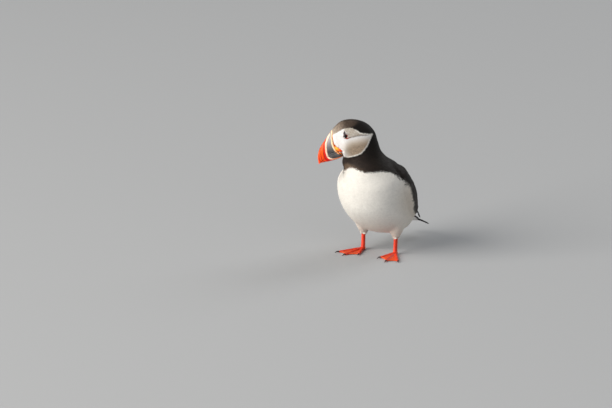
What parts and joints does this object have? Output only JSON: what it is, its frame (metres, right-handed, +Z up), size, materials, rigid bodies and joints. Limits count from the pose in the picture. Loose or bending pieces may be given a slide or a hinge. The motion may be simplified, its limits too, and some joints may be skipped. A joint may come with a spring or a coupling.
{
  "type": "atlantic puffin",
  "caption": "Standing seabird with a deep banded bill, black back, white breast and webbed feet, head turned over its right shoulder; a still life-size model.",
  "frame": {"origin": "on the floor, at the middle of the model's bounding box", "axes": "+Z up from the soles to the crown; the trunk faces -Y and +X is the bird's left"},
  "size_m": [0.1088, 0.1772, 0.188],
  "materials": {
    "plumage_white": "soft white contour feathers",
    "plumage_black": "sleek black feathers with a faint brown cast",
    "plumage_face": "very short pale grey feathers",
    "bill_horn": "smooth ridged horn in red, cream and slate",
    "gape_skin": "soft ribbed yellow skin",
    "eye": "wet and glossy",
    "leg_skin": "finely scaled orange-red skin",
    "claw_horn": "black horn"
  },
  "bodies": {
    "root": {"head": "plumage_face", "neck": "plumage_black", "trunk": "plumage_white", "tail": "plumage_black", "wing_left": "plumage_black", "wing_right": "plumage_black", "thigh_left": "plumage_white", "thigh_right": "plumage_white", "bill_upper": "bill_horn", "bill_lower": "bill_horn", "gape_left": "gape_skin", "gape_right": "gape_skin", "eye_left": "eye", "eye_right": "eye", "shank_left": "leg_skin", "shank_right": "leg_skin", "foot_left": "leg_skin", "foot_right": "leg_skin", "claw_left_inner": "claw_horn", "claw_left_middle": "claw_horn", "claw_left_outer": "claw_horn", "claw_right_inner": "claw_horn", "claw_right_middle": "claw_horn", "claw_right_outer": "claw_horn"}
  },
  "joints": []
}
